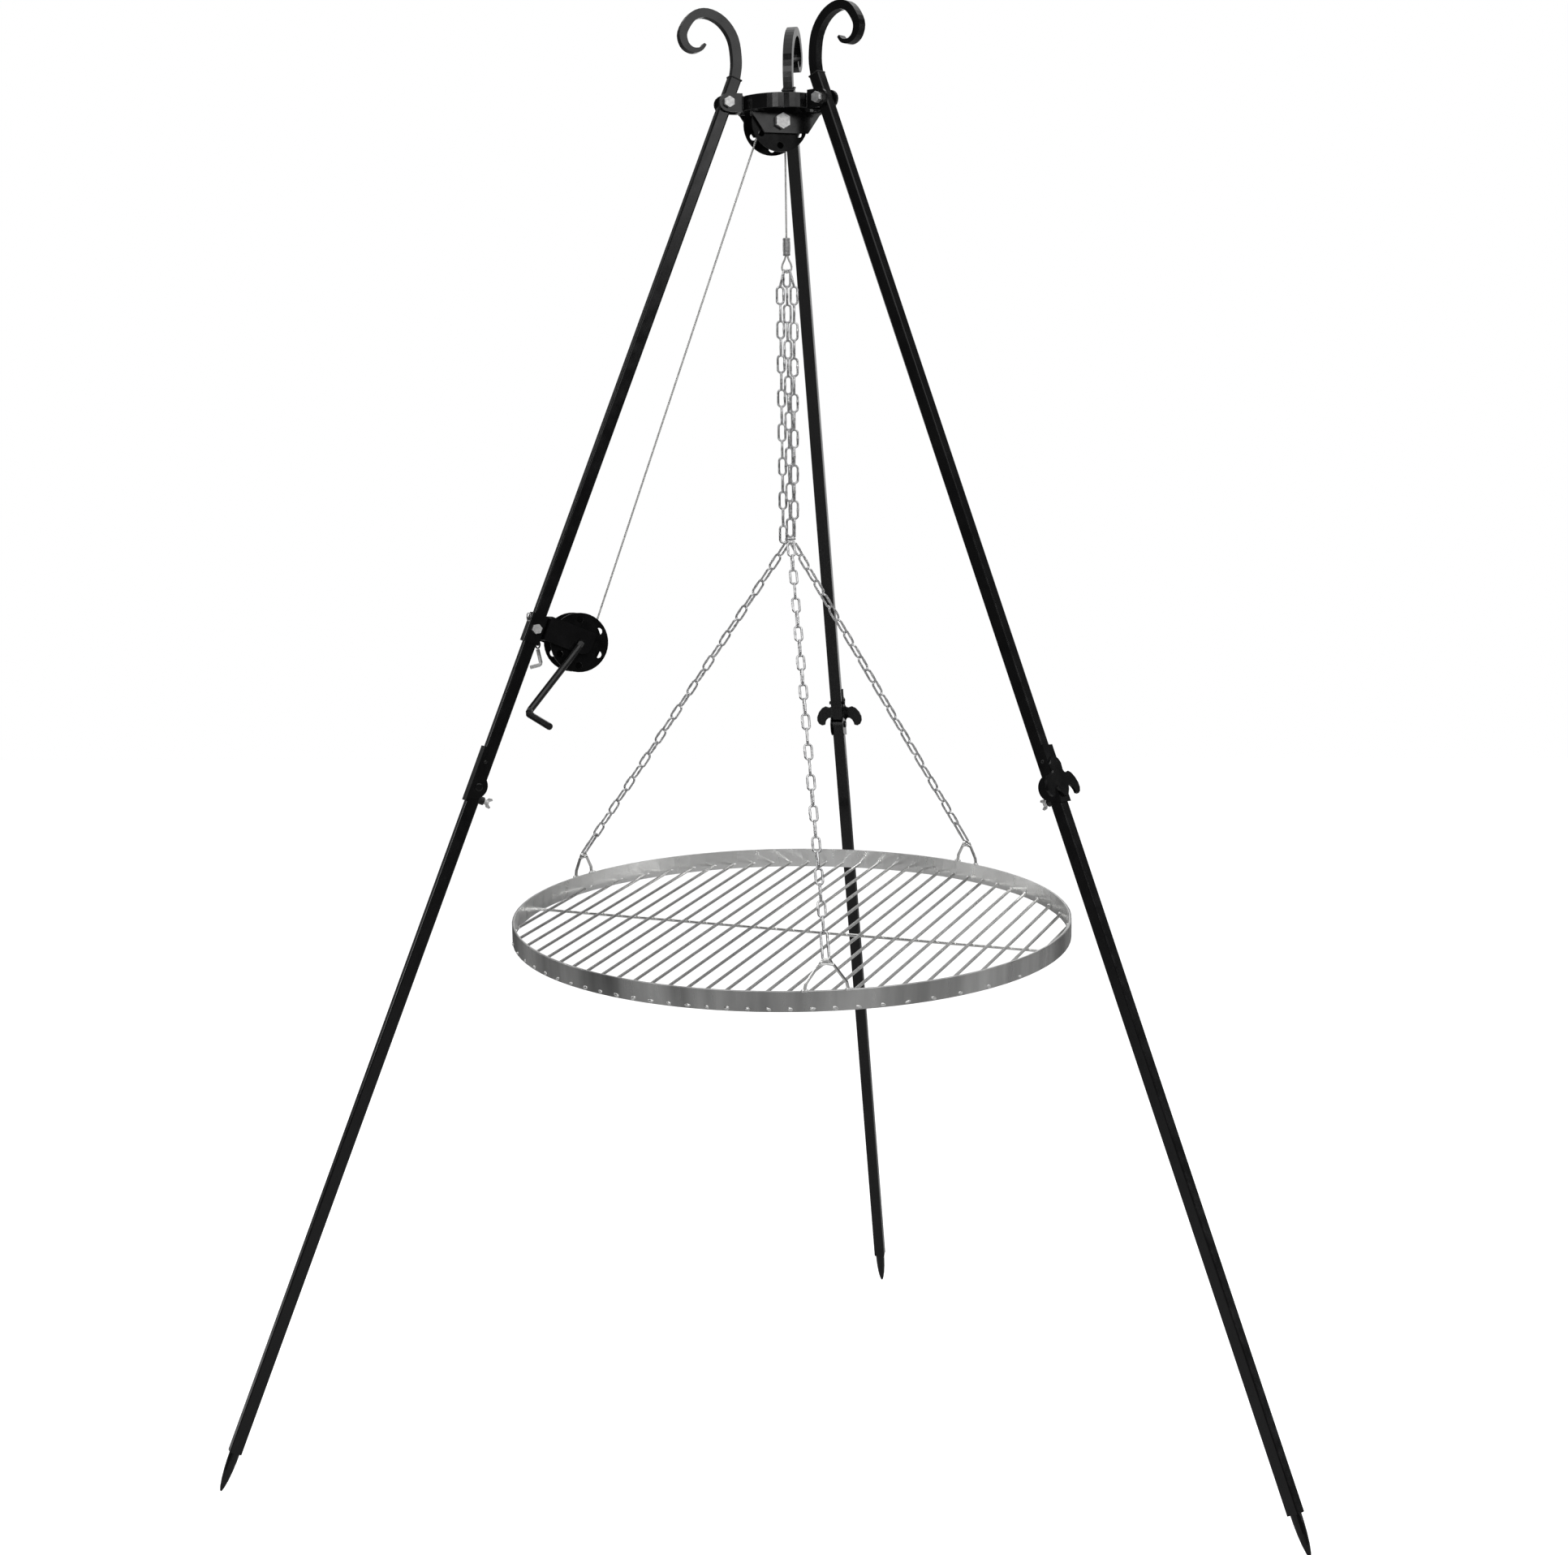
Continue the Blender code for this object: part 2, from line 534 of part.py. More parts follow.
# ---- winch on the left leg ----------------------------------------------------------------
def make_winch():
    """A sleeve on the leg, a two-cheek bracket, the reel and the crank."""
    leg = LEG_TOPS["left"]
    outlines = [rounded_square(SLEEVE_OUTER, 0.0022), rounded_square(SLEEVE_INNER, 0.0015, 2)]
    sleeve_mesh = plate(outlines, SLEEVE_HEIGHT)
    smooth(sleeve_mesh)
    sleeve = place("winch_sleeve", sleeve_mesh, leg, Matrix.Translation((0, 0, -WINCH_ALONG - 0.003)), BLACK)
    boolean(sleeve, cylinder(0.0033, (0, 0, 0), (0, 0.02, 0), 12), name="bolt_hole")
    face = SLEEVE_OUTER / 2 + TOUCH
    shank_end = TUBE / 2 + TOUCH
    bolt = place("sleeve_bolt", cylinder(0.003, (0, shank_end, 0), (0, face + 0.002, 0), 12), leg,
                 Matrix.Translation((0, 0, -WINCH_ALONG - 0.003)), ZINC)
    boolean(bolt, cylinder(0.0062, (0, face, 0), (0, face + 0.0050, 0), 6), "UNION", "head")

    near = -SLEEVE_OUTER / 2 - TOUCH
    far = -WINCH_INWARD - 0.0155
    low = -0.013
    high = low + CHEEK_HEIGHT
    outline = [(near, high), (far + 0.003, high), (far, high - 0.003),
               *arc((far + 0.012, low + 0.012), 0.012, 180, 270, 5), (near, low)]
    width = 2 * (CHEEK_OFFSET + CHEEK_THICK / 2)
    spot = Matrix.Translation((0, 0, -WINCH_ALONG)) @ FACE_Y
    bracket = place("winch_bracket", plate([outline], width), leg, spot, BLACK)
    reach = 0.2
    base = near - CHEEK_THICK
    slot = box((reach, reach, width - 2 * CHEEK_THICK), (base - reach / 2, 0, 0))
    boolean(bracket, slot, name="slot")
    boolean(bracket, cylinder(CRANK_RADIUS + TOUCH, (-WINCH_INWARD, 0, -0.03), (-WINCH_INWARD, 0, 0.03), 16),
            name="shaft_hole")
    reel("winch_reel", WINCH_CORE, 49, WINCH, ALONG_Y)

    arm_y = CHEEK_OFFSET + 0.010
    bend = 0.006
    toward = Vector((0.034, -0.103))
    step = toward.normalized() * bend
    grip = Vector((-0.011, 0.076, -0.009))
    corner = Vector((toward.x, arm_y, toward.y))
    start_grip = corner + grip.normalized() * bend
    path = [(0, -CHEEK_OFFSET - 0.004, 0), (0, 0, 0), (0, arm_y - bend, 0),
            (step.x * 0.3, arm_y - bend * 0.3, step.y * 0.3), (step.x, arm_y, step.y),
            (corner.x - step.x, arm_y, corner.z - step.y),
            tuple(corner - Vector((step.x, 0, step.y)) * 0.3 + grip.normalized() * bend * 0.3),
            tuple(start_grip), tuple(corner + grip)]
    place("crank", wire(path, CRANK_RADIUS, sides=3), WINCH, None, BLACK)

    link_top = Vector((near - 0.0012, -0.0135, -WINCH_ALONG + low - TOUCH))
    make_lock_pin(leg, link_top)


PIN_RADIUS = 0.0024
LEASH_RADIUS = 0.001


def make_lock_pin(leg, top):
    """A bent pin that hangs from the bracket on one link."""
    upright = leg.matrix_local.to_3x3().inverted()
    down = upright @ Vector((0, 0, -1))
    out = upright @ Vector((1, 0, 0))
    half_width = 0.0028
    length = 0.009
    loop = []
    for number in range(16):
        turn = 2 * math.pi * number / 16
        loop.append(tuple(top + down * (length / 2 + LEASH_RADIUS - math.cos(turn) * length / 2)
                          + out * math.sin(turn) * half_width))
    place("pin_leash", wire(loop, LEASH_RADIUS, cyclic=True, sides=1), leg, None, BLACK)
    hang = top + down * (length + 2 * LEASH_RADIUS + TOUCH)
    tilt = math.radians(-12.4)
    drop = down * math.cos(tilt) + out * math.sin(tilt)
    arm = out * math.cos(tilt) - down * math.sin(tilt)
    leg_length = 0.019
    arm_length = 0.014
    corner = drop * leg_length
    round_by = 0.003
    path = [Vector((0, 0, 0)), corner - drop * round_by, corner - drop * round_by * 0.3 + arm * round_by * 0.3,
            corner + arm * round_by, corner + arm * arm_length]
    hanger = empty("lock_pin_axis", Matrix.Translation(hang), leg)
    place("lock_pin", wire([tuple(p) for p in path], PIN_RADIUS), hanger, None, ZINC)


# ---- cable, chains and grate --------------------------------------------------------------
def cable_route():
    """The cable in the left leg's plane: winch turns, the straight run, then over the pulley."""
    pulley = Vector((PULLEY_OUT, PULLEY_Z - HUB_Z))
    leg_down = Vector((math.sin(LEAN), -math.cos(LEAN)))
    leg_out = Vector((math.cos(LEAN), math.sin(LEAN)))
    winch = Vector((BOLT_RADIUS, 0)) + leg_down * WINCH_ALONG - leg_out * WINCH_INWARD
    span = winch - pulley
    heading = math.atan2(span.y, span.x)
    cross = math.asin((PULLEY_WRAP + WINCH_WRAP) / span.length)
    leave = heading - cross + math.pi / 2          # where the cable leaves the pulley, as an angle
    arrive = leave + math.pi                       # where it meets the winch
    points = []
    turn_steps = 20
    for number in range(WINCH_TURNS * turn_steps + 1):
        back = WINCH_TURNS * turn_steps - number
        turn = arrive + 2 * math.pi * back / turn_steps
        side = CABLE_SIDE + WINCH_PITCH * back / turn_steps
        points.append((winch.x + WINCH_WRAP * math.cos(turn), side, winch.y + WINCH_WRAP * math.sin(turn)))
    over_steps = 12
    for number in range(over_steps + 1):
        turn = leave + (math.pi - leave) * number / over_steps
        reach = PULLEY_WRAP * math.cos(turn)
        points.append((pulley.x + reach, CABLE_SIDE, pulley.y + PULLEY_WRAP * math.sin(turn)))
    return points


def make_cable():
    heading = HEADINGS["left"]
    offset = Matrix.Translation((-BOLT_RADIUS, 0, 0))
    place("rope_run", wire(cable_route(), CABLE_RADIUS, sides=1), heading, offset, CABLE)
    top = PULLEY_Z - TOUCH
    low = FERRULE_TOP + TOUCH
    place("rope_drop", cylinder(CABLE_RADIUS, (0, 0, top), (0, 0, low), 8), DROP, None, CABLE)
    body = [(0.0, 0.0), (FERRULE_RADIUS - 0.0008, 0.0), (FERRULE_RADIUS, -0.0008),
            (FERRULE_RADIUS, 0.0008 - FERRULE_HEIGHT), (FERRULE_RADIUS - 0.0008, -FERRULE_HEIGHT),
            (0.0, -FERRULE_HEIGHT)]
    turned("ferrule", body, DROP, Matrix.Translation((0, 0, FERRULE_TOP)), ALUMINIUM, steps=20)
    loop_top = FERRULE_TOP - FERRULE_HEIGHT - TOUCH - CABLE_RADIUS
    half = LOOP_WIDTH / 2
    centre = loop_top - LOOP_LENGTH + half
    points = [(x, 0, z) for x, z in arc((0, centre), half, 200, 340, 10)]
    points += [(half * 0.93, 0, centre + half * 0.6), (half * 0.55, 0, centre + half * 1.4)]
    points += [(0, 0, loop_top)]
    points += [(-half * 0.55, 0, centre + half * 1.4), (-half * 0.93, 0, centre + half * 0.6)]
    place("rope_loop", wire(points, CABLE_RADIUS, cyclic=True), DROP, FACING, CABLE)


def make_chains():
    """Plain strands from the rope loop to the gathering link, and from there to the three bails."""
    loop_foot = FERRULE_TOP - FERRULE_HEIGHT - LOOP_LENGTH - 2 * CABLE_RADIUS - 2 * TOUCH
    tops = {"left": loop_foot - 0.003, "middle": loop_foot, "right": loop_foot - 0.003}
    lows = {"left": GATHER_Z - 0.004, "middle": GATHER_Z + 0.006, "right": GATHER_Z + 0.006}
    for number, name in enumerate(("left", "middle", "right")):
        x = (number - 1) * CHAIN_SPREAD
        mesh = cylinder(CHAIN_RADIUS, (x, 0, tops[name]), (x, 0, lows[name]), 8)
        place(f"hanging_chain_{name}", mesh, DROP, FACING, ZINC)
    ring = [(x, 0, z) for x, z in arc((0, GATHER_Z), 0.0032, 0, 342, 19)]
    place("gather_link", wire(ring, 0.0018, cyclic=True), DROP, FACING, ZINC)
    start = Vector((0, 0, GATHER_Z - 0.006))
    for name, (turn, _, height) in BAILS.items():
        end = bail_top(turn, height)
        run = (end - start).normalized()
        mesh = cylinder(CHAIN_RADIUS, start + run * 0.008, end - run * (ROD_RADIUS + 2 * TOUCH), 8)
        place(f"grate_chain_{name}", mesh, DROP, None, ZINC)


def bail_top(turn, height):
    """The middle of the rod at a bail's crown, measured from the swivel axis."""
    radius = GRATE_RADIUS - RIM_WALL / 2
    local = Vector((radius * math.cos(turn), radius * math.sin(turn), height + ROD_RADIUS))
    return GRATE.matrix_local @ local


def make_grate():
    top = 0.0
    inner = GRATE_RADIUS - RIM_WALL
    soft = 0.0005
    profile = [(inner, top), (GRATE_RADIUS - soft, top), (GRATE_RADIUS, top - soft),
               (GRATE_RADIUS, soft - RIM_HEIGHT), (GRATE_RADIUS - soft, -RIM_HEIGHT), (inner, -RIM_HEIGHT)]
    turned("grate_rim", profile, GRATE, None, STAINLESS, steps=96)
    make_rods()
    for name, (turn, half, height) in BAILS.items():
        make_bail(name, turn, half, height)


def make_rods():
    """Parallel rods resting on one cross rod, joined where they cross."""
    cross_z = -RIM_HEIGHT + ROD_RADIUS + 0.0003
    rod_z = cross_z + 1.7 * ROD_RADIUS
    ends = GRATE_RADIUS - RIM_WALL - TOUCH
    reach = math.sqrt(ends ** 2 - ROD_RADIUS ** 2)
    spot = Matrix.Rotation(CROSS_ROD_TURN, 4, "Z")
    cross = cylinder(ROD_RADIUS, (-reach, 0, cross_z), (reach, 0, cross_z), 8)
    rods = place("grate_rods", cross, GRATE, spot, STAINLESS)
    shape = bmesh.new()
    for number in range(-ROD_PAIRS, ROD_PAIRS + 1):
        x = number * ROD_PITCH
        half = math.sqrt(ends ** 2 - (abs(x) + ROD_RADIUS) ** 2)
        shape.from_mesh(cylinder(ROD_RADIUS, (x, -half, rod_z), (x, half, rod_z), 8))
    mesh = bpy.data.meshes.new("rods")
    shape.to_mesh(mesh)
    shape.free()
    boolean(rods, mesh, "UNION", "rods")


def make_bail(name, turn, half, height):
    """An inverted V of rod on the rim's top edge."""
    radius = GRATE_RADIUS - RIM_WALL / 2
    foot = TOUCH + 0.0005
    crown = min(0.008, half / 2.4)
    high = height + ROD_RADIUS
    right = [(0, crown * 1.05, high - 0.006), (0, half * 0.93, foot + 0.008), (0, half, foot)]
    left = [(0, -y, z) for _, y, z in reversed(right)]
    points = left + [(0, y, z) for y, z in arc((0, high - crown), crown, 150, 30, 6)][::-1] + right
    spot = Matrix.Rotation(turn, 4, "Z") @ Matrix.Translation((radius, 0, 0))
    place(f"bail_{name}", wire(points, ROD_RADIUS), GRATE, spot, STAINLESS)


# ---- assembly -----------------------------------------------------------------------------
clear_scene()
PARTS = make_collection("campfire_tripod_grate")
CUTTERS = make_collection("cutters")

HUB = empty("hub_axis", Matrix.Translation((0, AXIS_Y, HUB_Z)))
HEADINGS = {}
LEG_TOPS = {}
KNEES = {}
for leg_name, leg_turn, knee_along, _, _ in LEGS:
    outward = Matrix.Rotation(leg_turn, 4, "Z")
    bolt_spot = outward @ Matrix.Translation((BOLT_RADIUS, 0, 0))
    HEADINGS[leg_name] = empty(f"{leg_name}_leg_bolt", bolt_spot, HUB)
    LEG_TOPS[leg_name] = empty(f"{leg_name}_leg", Matrix.Rotation(-LEAN, 4, "Y"), HEADINGS[leg_name])
    KNEES[leg_name] = empty(f"{leg_name}_knee", Matrix.Translation((0, 0, -knee_along)), LEG_TOPS[leg_name])

LEFT_TURN = LEGS[0][1]
LEFTWARD = Matrix.Rotation(LEFT_TURN, 4, "Z")
PULLEY = empty("pulley_axis", LEFTWARD @ Matrix.Translation((PULLEY_OUT, 0, PULLEY_Z - HUB_Z)), HUB)
WINCH = empty("winch_axis", Matrix.Translation((-WINCH_INWARD, 0, -WINCH_ALONG)), LEG_TOPS["left"])
DROP_SPOT = LEFTWARD @ Vector((PULLEY_OUT - PULLEY_WRAP, CABLE_SIDE, 0))
DROP = empty("swivel_axis", Matrix.Translation((DROP_SPOT.x, AXIS_Y + DROP_SPOT.y, 0)))
FACING = Matrix.Rotation(GRATE_TILT_TOWARD + math.radians(90), 4, "Z")
TILT_AXIS = Vector((-math.sin(GRATE_TILT_TOWARD), math.cos(GRATE_TILT_TOWARD), 0))
GRATE_SPOT = Vector((TILT_AXIS.x, TILT_AXIS.y, 0)) * -GRATE_SIDE + Vector((0, 0, GRATE_Z))
GRATE = empty("grate_middle", Matrix.Translation(GRATE_SPOT) @ Matrix.Rotation(GRATE_TILT, 4, TILT_AXIS), DROP)

make_hub()
make_pulley()
for leg_name, _, knee_along, has_wing, has_hook in LEGS:
    make_scroll(leg_name)
    make_upper_leg(leg_name, knee_along)
    make_knee(leg_name)
    make_lower_leg(leg_name, knee_along, has_wing)
    if has_wing:
        make_wing_screw(leg_name)
    if has_hook:
        make_hook_plate(leg_name)
make_winch()
make_cable()
make_chains()
make_grate()
bpy.context.view_layer.update()
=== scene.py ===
"""Looks of the campfire tripod grate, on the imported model's frame. Metres, +Z up."""
import json
import math
import random

import bmesh
import bpy
from mathutils import Matrix, Vector


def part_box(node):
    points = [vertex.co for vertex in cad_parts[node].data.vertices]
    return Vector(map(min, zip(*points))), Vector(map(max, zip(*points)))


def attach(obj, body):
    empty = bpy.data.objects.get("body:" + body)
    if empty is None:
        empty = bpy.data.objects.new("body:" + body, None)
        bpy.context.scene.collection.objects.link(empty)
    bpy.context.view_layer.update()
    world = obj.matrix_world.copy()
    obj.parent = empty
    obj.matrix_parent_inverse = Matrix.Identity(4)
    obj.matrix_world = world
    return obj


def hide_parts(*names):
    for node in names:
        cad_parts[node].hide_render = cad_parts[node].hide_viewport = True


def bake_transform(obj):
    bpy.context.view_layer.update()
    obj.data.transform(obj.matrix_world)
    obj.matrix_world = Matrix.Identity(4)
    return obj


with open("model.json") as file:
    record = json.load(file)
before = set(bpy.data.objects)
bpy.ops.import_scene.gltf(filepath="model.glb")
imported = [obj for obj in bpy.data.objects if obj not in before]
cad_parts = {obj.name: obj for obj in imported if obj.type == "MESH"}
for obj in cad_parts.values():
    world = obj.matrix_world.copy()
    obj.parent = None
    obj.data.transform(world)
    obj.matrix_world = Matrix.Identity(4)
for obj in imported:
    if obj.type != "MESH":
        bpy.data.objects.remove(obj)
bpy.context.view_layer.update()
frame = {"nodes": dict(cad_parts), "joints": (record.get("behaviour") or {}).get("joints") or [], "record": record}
JOINTS = {joint["name"]: joint for joint in frame["joints"]}
UP = Vector((0, 0, 1))


def joint_spot(name):
    return Vector(JOINTS[name]["pos_m"])


def joint_axis(name):
    return Vector(JOINTS[name]["axis"]).normalized()


HUB = sum((joint_spot(f"{leg}_leg_fold") for leg in ("left", "right", "rear")), Vector()) / 3
DROP = joint_spot("grate_swivel")
WINCH = joint_spot("winch_turn")
PULLEY = joint_spot("pulley_turn")


# ---- the grate's place --------------------------------------------------------------------
GRATE_Z = 0.6545
GRATE_RADIUS = 0.350
GRATE_SIDE = 0.006
GRATE_TILT = math.radians(7.6)
GRATE_TILT_TOWARD = math.radians(280.4)
RIM_WALL = 0.003
RIM_HEIGHT = 0.0245
ROD_PITCH = 0.0235
ROD_PAIRS = 14
ROD_TURN = math.radians(-9.5)
BAILS = ((math.radians(152.6), 0.0155), (math.radians(57.4), 0.0155), (math.radians(286.9), 0.025))


def grate_frame():
    tilt_axis = Vector((-math.sin(GRATE_TILT_TOWARD), math.cos(GRATE_TILT_TOWARD), 0))
    middle = Vector((DROP.x, DROP.y, GRATE_Z)) - tilt_axis * GRATE_SIDE
    return Matrix.Translation(middle) @ Matrix.Rotation(GRATE_TILT, 4, tilt_axis)


# ---- camera, floor and light --------------------------------------------------------------
FACING = math.radians(10.38)         # the camera stands this far round from -Y
CAMERA_AWAY = 3.4276
CAMERA_UP = 1.0836
CAMERA_YAW = math.radians(12.782)
CAMERA_PITCH = math.radians(4.162)
CAMERA_ROLL = math.radians(-0.933)
ACROSS = Vector((math.cos(FACING), math.sin(FACING), 0))
BACK = Vector((-math.sin(FACING), math.cos(FACING), 0))


def make_camera():
    data = bpy.data.cameras.new("camera")
    data.sensor_width = 36.0
    data.lens = 63.12
    data.shift_x = 0.0701
    data.shift_y = -0.0030
    camera = bpy.data.objects.new("camera", data)
    bpy.context.scene.collection.objects.link(camera)
    spot = Vector((HUB.x, HUB.y, 0)) - BACK * CAMERA_AWAY + UP * CAMERA_UP
    flat = math.cos(CAMERA_PITCH)
    ahead = Vector((-math.sin(CAMERA_YAW) * flat, math.cos(CAMERA_YAW) * flat, -math.sin(CAMERA_PITCH)))
    right = ahead.cross(UP).normalized()
    above = right.cross(ahead)
    rolled = right * math.cos(CAMERA_ROLL) + above * math.sin(CAMERA_ROLL)
    above = above * math.cos(CAMERA_ROLL) - right * math.sin(CAMERA_ROLL)
    camera.matrix_world = Matrix((
        (rolled.x, above.x, -ahead.x, spot.x),
        (rolled.y, above.y, -ahead.y, spot.y),
        (rolled.z, above.z, -ahead.z, spot.z),
        (0, 0, 0, 1)))
    bpy.context.scene.camera = camera


def area_light(name, spot, aim, size, power):
    data = bpy.data.lights.new(name, "AREA")
    data.shape = "RECTANGLE"
    data.size, data.size_y = size
    data.energy = power
    light = bpy.data.objects.new(name, data)
    bpy.context.scene.collection.objects.link(light)
    light.location = spot
    light.rotation_euler = (Vector(aim) - Vector(spot)).to_track_quat("-Z", "Y").to_euler()


def make_stage():
    scene = bpy.context.scene
    scene.view_settings.view_transform = "Standard"
    world = bpy.data.worlds.new("studio")
    scene.world = world
    world.use_nodes = True
    nodes, links = world.node_tree.nodes, world.node_tree.links
    nodes.clear()
    around = nodes.new("ShaderNodeTexCoord")
    split = nodes.new("ShaderNodeSeparateXYZ")
    ramp = nodes.new("ShaderNodeMapRange")
    ramp.interpolation_type = "SMOOTHSTEP"
    ramp.inputs["From Min"].default_value = 0.74
    ramp.inputs["From Max"].default_value = 0.98
    ramp.inputs["To Min"].default_value = 0.10
    ramp.inputs["To Max"].default_value = 0.95
    soft = nodes.new("ShaderNodeBackground")
    plain = nodes.new("ShaderNodeBackground")
    plain.inputs["Color"].default_value = (1, 1, 1, 1)
    plain.inputs["Strength"].default_value = 1.0
    path = nodes.new("ShaderNodeLightPath")
    mix = nodes.new("ShaderNodeMixShader")
    out = nodes.new("ShaderNodeOutputWorld")
    links.new(around.outputs["Generated"], split.inputs[0])
    links.new(split.outputs["Y"], ramp.inputs["Value"])
    links.new(ramp.outputs["Result"], soft.inputs["Strength"])
    links.new(path.outputs["Is Camera Ray"], mix.inputs["Fac"])
    links.new(soft.outputs[0], mix.inputs[1])
    links.new(plain.outputs[0], mix.inputs[2])
    links.new(mix.outputs[0], out.inputs["Surface"])

    mesh = bpy.data.meshes.new("floor")
    shape = bmesh.new()
    bmesh.ops.create_grid(shape, x_segments=1, y_segments=1, size=12)
    shape.to_mesh(mesh)
    shape.free()
    floor = bpy.data.objects.new("floor", mesh)
    scene.collection.objects.link(floor)
    floor.location = (0, 0, -0.0005)
    white = bpy.data.materials.new("floor_white")
    white.use_nodes = True
    shader = white.node_tree.nodes["Principled BSDF"]
    shader.inputs["Base Color"].default_value = (0.58, 0.58, 0.58, 1)
    shader.inputs["Roughness"].default_value = 0.9
    shader.inputs["Specular IOR Level"].default_value = 0.1
    shader.inputs["Emission Color"].default_value = (1, 1, 1, 1)
    seen = white.node_tree.nodes.new("ShaderNodeLightPath")
    glow = white.node_tree.nodes.new("ShaderNodeMath")
    glow.operation = "MULTIPLY"
    glow.inputs[1].default_value = 1.0
    white.node_tree.links.new(seen.outputs["Is Camera Ray"], glow.inputs[0])
    white.node_tree.links.new(glow.outputs[0], shader.inputs["Emission Strength"])
    mesh.materials.append(white)

    area_light("overhead", (0.2, -0.2, 3.7), (0, 0, 0.8), (5.0, 5.0), 85)
    area_light("front_right_box", (2.5, -2.7, 2.6), (0, -0.2, 1.4), (2.0, 1.3), 15)
    area_light("front_box", (0.0, -4.6, 2.75), (0, 0, 1.0), (2.6, 1.0), 20)
    area_light("front_strip", (-0.5, -4.9, 1.9), (0, 0, 0.9), (0.14, 3.0), 15)
    area_light("left_box", (-3.2, 0.2, 2.0), (0, -0.1, 0.9), (0.8, 2.0), 16)
    area_light("right_box", (3.1, 0.1, 1.6), (0, -0.1, 0.8), (0.5, 2.2), 12)


# ---- materials ----------------------------------------------------------------------------
class Finish:
    """A node material in the making, with object coordinates at hand."""

    def __init__(self, name, roughness, metallic):
        self.material = bpy.data.materials.new(name)
        self.material.use_nodes = True
        self.nodes = self.material.node_tree.nodes
        self.links = self.material.node_tree.links
        self.shader = self.nodes["Principled BSDF"]
        self.shader.inputs["Roughness"].default_value = roughness
        self.shader.inputs["Metallic"].default_value = metallic
        self.place = self.nodes.new("ShaderNodeTexCoord").outputs["Object"]
        self.normal = None

    def noise(self, scale, detail=3.0, stretch=None):
        place = self.place
        if stretch:
            mapping = self.nodes.new("ShaderNodeMapping")
            mapping.inputs["Scale"].default_value = stretch
            self.links.new(place, mapping.inputs["Vector"])
            place = mapping.outputs["Vector"]
        texture = self.nodes.new("ShaderNodeTexNoise")
        texture.inputs["Scale"].default_value = scale
        texture.inputs["Detail"].default_value = detail
        self.links.new(place, texture.inputs["Vector"])
        return texture.outputs["Fac"]

    def colour(self, fac, dark, pale, low=0.3, high=0.7):
        ramp = self.nodes.new("ShaderNodeValToRGB")
        ramp.color_ramp.elements[0].position = low
        ramp.color_ramp.elements[0].color = (*dark, 1)
        ramp.color_ramp.elements[1].position = high
        ramp.color_ramp.elements[1].color = (*pale, 1)
        self.links.new(fac, ramp.inputs["Fac"])
        self.links.new(ramp.outputs["Color"], self.shader.inputs["Base Color"])

    def roughness(self, fac, low, high):
        ramp = self.nodes.new("ShaderNodeMapRange")
        ramp.inputs["From Min"].default_value = 0.3
        ramp.inputs["From Max"].default_value = 0.7
        ramp.inputs["To Min"].default_value = low
        ramp.inputs["To Max"].default_value = high
        self.links.new(fac, ramp.inputs["Value"])
        self.links.new(ramp.outputs["Result"], self.shader.inputs["Roughness"])

    def bump(self, fac, strength, distance):
        bump = self.nodes.new("ShaderNodeBump")
        bump.inputs["Strength"].default_value = strength
        bump.inputs["Distance"].default_value = distance
        self.links.new(fac, bump.inputs["Height"])
        if self.normal:
            self.links.new(self.normal, bump.inputs["Normal"])
        self.normal = bump.outputs["Normal"]
        self.links.new(self.normal, self.shader.inputs["Normal"])


def black_paint():
    finish = Finish("black_gloss_paint", 0.2, 0.0)
    finish.colour(finish.noise(35, 4), (0.0022, 0.0022, 0.0024), (0.0050, 0.0050, 0.0053))
    finish.roughness(finish.noise(60, 5), 0.13, 0.25)
    finish.bump(finish.noise(260, 2), 0.03, 0.0004)
    finish.bump(finish.noise(1500, 2), 0.02, 0.0001)
    finish.shader.inputs["Specular IOR Level"].default_value = 0.42
    return finish.material


def shaded_reel_paint():
    # Painted shade: a darker, less glossy copy of the black paint, standing in for the shade on the reels.
    finish = Finish("black_reel_painted_shade", 0.3, 0.0)
    finish.colour(finish.noise(60, 4), (0.0015, 0.0015, 0.0016), (0.0040, 0.0040, 0.0042))
    finish.roughness(finish.noise(90, 5), 0.24, 0.40)
    finish.bump(finish.noise(500, 3), 0.12, 0.0003)
    finish.shader.inputs["Specular IOR Level"].default_value = 0.14
    return finish.material


def bolt_zinc():
    finish = Finish("bolt_zinc", 0.4, 1.0)
    finish.colour(finish.noise(260, 4), (0.66, 0.66, 0.66), (0.95, 0.95, 0.94))
    finish.roughness(finish.noise(500, 4), 0.38, 0.55)
    finish.bump(finish.noise(420, 3), 0.35, 0.0006)
    return finish.material


def bright_zinc():
    finish = Finish("bright_zinc", 0.3, 1.0)
    finish.colour(finish.noise(220, 4), (0.36, 0.36, 0.37), (0.88, 0.88, 0.88))
    finish.roughness(finish.noise(500, 4), 0.14, 0.30)
    finish.bump(finish.noise(700, 3), 0.16, 0.0003)
    return finish.material


